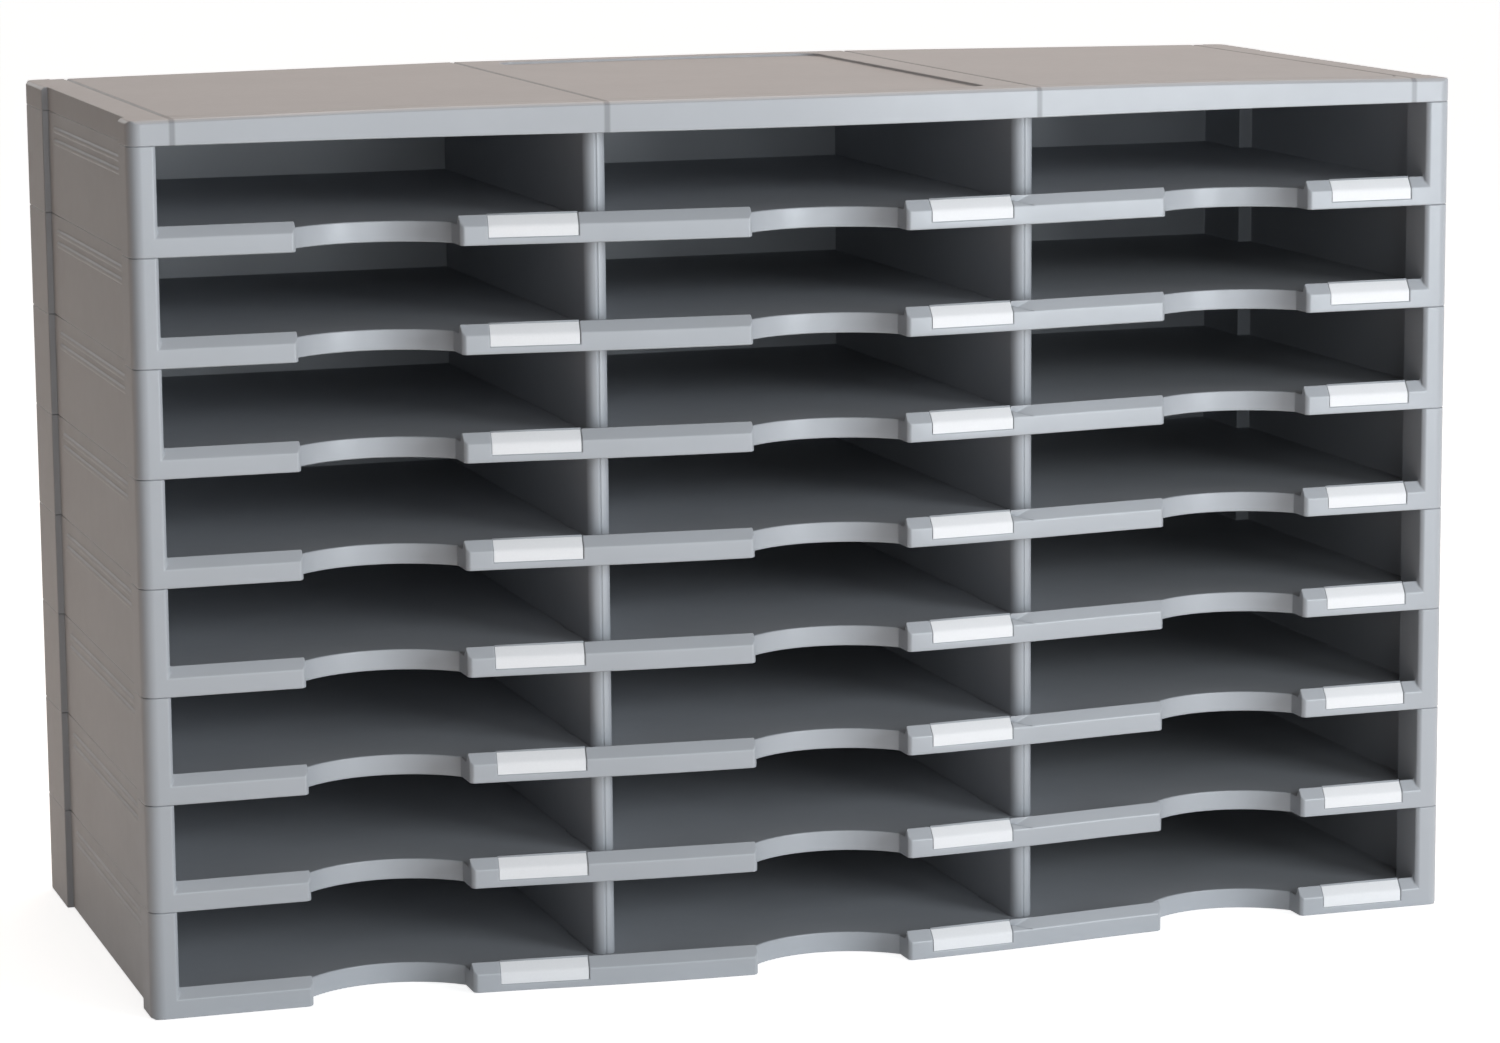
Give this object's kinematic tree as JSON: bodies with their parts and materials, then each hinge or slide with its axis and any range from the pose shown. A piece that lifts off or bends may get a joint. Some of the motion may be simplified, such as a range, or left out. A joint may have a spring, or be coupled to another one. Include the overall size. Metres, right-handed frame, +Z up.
{
  "type": "literature organizer",
  "caption": "Wide free-standing paper sorter of stacked bow-fronted plastic trays with open compartments, thumb notches, label cards and a crowned cover.",
  "frame": {"origin": "middle of the footprint, on the surface that the sorter stands on", "axes": "+X to the right as seen from the open front, +Y to the back wall, +Z up"},
  "size_m": [0.798, 0.358, 0.51],
  "materials": {
    "tier_plastic": "fine-grained satin",
    "divider_plastic": "fine-grained satin",
    "cover_plastic": "fine-grained satin",
    "label_card": "matte"
  },
  "bodies": {
    "tier_1_body": {"tier_1": "tier_plastic", "tier_1_divider_1": "divider_plastic", "tier_1_divider_2": "divider_plastic"},
    "tier_2_body": {"tier_2": "tier_plastic", "tier_2_divider_1": "divider_plastic", "tier_2_divider_2": "divider_plastic"},
    "tier_3_body": {"tier_3": "tier_plastic", "tier_3_divider_1": "divider_plastic", "tier_3_divider_2": "divider_plastic"},
    "tier_4_body": {"tier_4": "tier_plastic", "tier_4_divider_1": "divider_plastic", "tier_4_divider_2": "divider_plastic"},
    "tier_5_body": {"tier_5": "tier_plastic", "tier_5_divider_1": "divider_plastic", "tier_5_divider_2": "divider_plastic"},
    "tier_6_body": {"tier_6": "tier_plastic", "tier_6_divider_1": "divider_plastic", "tier_6_divider_2": "divider_plastic"},
    "tier_7_body": {"tier_7": "tier_plastic", "tier_7_divider_1": "divider_plastic", "tier_7_divider_2": "divider_plastic"},
    "tier_8_body": {"tier_8": "tier_plastic", "tier_8_divider_1": "divider_plastic", "tier_8_divider_2": "divider_plastic"},
    "cover_body": {"top_cover": "cover_plastic"},
    "tier_1_label_1_body": {"tier_1_label_1": "label_card"},
    "tier_1_label_2_body": {"tier_1_label_2": "label_card"},
    "tier_1_label_3_body": {"tier_1_label_3": "label_card"},
    "tier_2_label_1_body": {"tier_2_label_1": "label_card"},
    "tier_2_label_2_body": {"tier_2_label_2": "label_card"},
    "tier_2_label_3_body": {"tier_2_label_3": "label_card"},
    "tier_3_label_1_body": {"tier_3_label_1": "label_card"},
    "tier_3_label_2_body": {"tier_3_label_2": "label_card"},
    "tier_3_label_3_body": {"tier_3_label_3": "label_card"},
    "tier_4_label_1_body": {"tier_4_label_1": "label_card"},
    "tier_4_label_2_body": {"tier_4_label_2": "label_card"},
    "tier_4_label_3_body": {"tier_4_label_3": "label_card"},
    "tier_5_label_1_body": {"tier_5_label_1": "label_card"},
    "tier_5_label_2_body": {"tier_5_label_2": "label_card"},
    "tier_5_label_3_body": {"tier_5_label_3": "label_card"},
    "tier_6_label_1_body": {"tier_6_label_1": "label_card"},
    "tier_6_label_2_body": {"tier_6_label_2": "label_card"},
    "tier_6_label_3_body": {"tier_6_label_3": "label_card"},
    "tier_7_label_1_body": {"tier_7_label_1": "label_card"},
    "tier_7_label_2_body": {"tier_7_label_2": "label_card"},
    "tier_7_label_3_body": {"tier_7_label_3": "label_card"},
    "tier_8_label_1_body": {"tier_8_label_1": "label_card"},
    "tier_8_label_2_body": {"tier_8_label_2": "label_card"},
    "tier_8_label_3_body": {"tier_8_label_3": "label_card"}
  },
  "joints": [
    {"name": "tier_2_lift", "type": "slide", "parent": "tier_1_body", "child": "tier_2_body", "axis": [0, 0, 1], "range_m": [0, 0.03]},
    {"name": "tier_3_lift", "type": "slide", "parent": "tier_2_body", "child": "tier_3_body", "axis": [0, 0, 1], "range_m": [0, 0.03]},
    {"name": "tier_4_lift", "type": "slide", "parent": "tier_3_body", "child": "tier_4_body", "axis": [0, 0, 1], "range_m": [0, 0.03]},
    {"name": "tier_5_lift", "type": "slide", "parent": "tier_4_body", "child": "tier_5_body", "axis": [0, 0, 1], "range_m": [0, 0.03]},
    {"name": "tier_6_lift", "type": "slide", "parent": "tier_5_body", "child": "tier_6_body", "axis": [0, 0, 1], "range_m": [0, 0.03]},
    {"name": "tier_7_lift", "type": "slide", "parent": "tier_6_body", "child": "tier_7_body", "axis": [0, 0, 1], "range_m": [0, 0.03]},
    {"name": "tier_8_lift", "type": "slide", "parent": "tier_7_body", "child": "tier_8_body", "axis": [0, 0, 1], "range_m": [0, 0.03]},
    {"name": "cover_lift", "type": "slide", "parent": "tier_8_body", "child": "cover_body", "axis": [0, 0, 1], "range_m": [0, 0.03]},
    {"name": "tier_1_label_1_slip_out", "type": "slide", "parent": "tier_1_body", "child": "tier_1_label_1_body", "axis": [-0.0808, -0.7025, 0.7071], "range_m": [0, 0.012]},
    {"name": "tier_1_label_2_slip_out", "type": "slide", "parent": "tier_1_body", "child": "tier_1_label_2_body", "axis": [0.0513, -0.7052, 0.7071], "range_m": [0, 0.012]},
    {"name": "tier_1_label_3_slip_out", "type": "slide", "parent": "tier_1_body", "child": "tier_1_label_3_body", "axis": [0, -0.7071, 0.7071], "range_m": [0, 0.012]},
    {"name": "tier_2_label_1_slip_out", "type": "slide", "parent": "tier_2_body", "child": "tier_2_label_1_body", "axis": [-0.0808, -0.7025, 0.7071], "range_m": [0, 0.012]},
    {"name": "tier_2_label_2_slip_out", "type": "slide", "parent": "tier_2_body", "child": "tier_2_label_2_body", "axis": [0.0513, -0.7052, 0.7071], "range_m": [0, 0.012]},
    {"name": "tier_2_label_3_slip_out", "type": "slide", "parent": "tier_2_body", "child": "tier_2_label_3_body", "axis": [0, -0.7071, 0.7071], "range_m": [0, 0.012]},
    {"name": "tier_3_label_1_slip_out", "type": "slide", "parent": "tier_3_body", "child": "tier_3_label_1_body", "axis": [-0.0808, -0.7025, 0.7071], "range_m": [0, 0.012]},
    {"name": "tier_3_label_2_slip_out", "type": "slide", "parent": "tier_3_body", "child": "tier_3_label_2_body", "axis": [0.0513, -0.7052, 0.7071], "range_m": [0, 0.012]},
    {"name": "tier_3_label_3_slip_out", "type": "slide", "parent": "tier_3_body", "child": "tier_3_label_3_body", "axis": [0, -0.7071, 0.7071], "range_m": [0, 0.012]},
    {"name": "tier_4_label_1_slip_out", "type": "slide", "parent": "tier_4_body", "child": "tier_4_label_1_body", "axis": [-0.0808, -0.7025, 0.7071], "range_m": [0, 0.012]},
    {"name": "tier_4_label_2_slip_out", "type": "slide", "parent": "tier_4_body", "child": "tier_4_label_2_body", "axis": [0.0513, -0.7052, 0.7071], "range_m": [0, 0.012]},
    {"name": "tier_4_label_3_slip_out", "type": "slide", "parent": "tier_4_body", "child": "tier_4_label_3_body", "axis": [0, -0.7071, 0.7071], "range_m": [0, 0.012]},
    {"name": "tier_5_label_1_slip_out", "type": "slide", "parent": "tier_5_body", "child": "tier_5_label_1_body", "axis": [-0.0808, -0.7025, 0.7071], "range_m": [0, 0.012]},
    {"name": "tier_5_label_2_slip_out", "type": "slide", "parent": "tier_5_body", "child": "tier_5_label_2_body", "axis": [0.0513, -0.7052, 0.7071], "range_m": [0, 0.012]},
    {"name": "tier_5_label_3_slip_out", "type": "slide", "parent": "tier_5_body", "child": "tier_5_label_3_body", "axis": [0, -0.7071, 0.7071], "range_m": [0, 0.012]},
    {"name": "tier_6_label_1_slip_out", "type": "slide", "parent": "tier_6_body", "child": "tier_6_label_1_body", "axis": [-0.0808, -0.7025, 0.7071], "range_m": [0, 0.012]},
    {"name": "tier_6_label_2_slip_out", "type": "slide", "parent": "tier_6_body", "child": "tier_6_label_2_body", "axis": [0.0513, -0.7052, 0.7071], "range_m": [0, 0.012]},
    {"name": "tier_6_label_3_slip_out", "type": "slide", "parent": "tier_6_body", "child": "tier_6_label_3_body", "axis": [0, -0.7071, 0.7071], "range_m": [0, 0.012]},
    {"name": "tier_7_label_1_slip_out", "type": "slide", "parent": "tier_7_body", "child": "tier_7_label_1_body", "axis": [-0.0808, -0.7025, 0.7071], "range_m": [0, 0.012]},
    {"name": "tier_7_label_2_slip_out", "type": "slide", "parent": "tier_7_body", "child": "tier_7_label_2_body", "axis": [0.0513, -0.7052, 0.7071], "range_m": [0, 0.012]},
    {"name": "tier_7_label_3_slip_out", "type": "slide", "parent": "tier_7_body", "child": "tier_7_label_3_body", "axis": [0, -0.7071, 0.7071], "range_m": [0, 0.012]},
    {"name": "tier_8_label_1_slip_out", "type": "slide", "parent": "tier_8_body", "child": "tier_8_label_1_body", "axis": [-0.0808, -0.7025, 0.7071], "range_m": [0, 0.012]},
    {"name": "tier_8_label_2_slip_out", "type": "slide", "parent": "tier_8_body", "child": "tier_8_label_2_body", "axis": [0.0513, -0.7052, 0.7071], "range_m": [0, 0.012]},
    {"name": "tier_8_label_3_slip_out", "type": "slide", "parent": "tier_8_body", "child": "tier_8_label_3_body", "axis": [0, -0.7071, 0.7071], "range_m": [0, 0.012]}
  ]
}
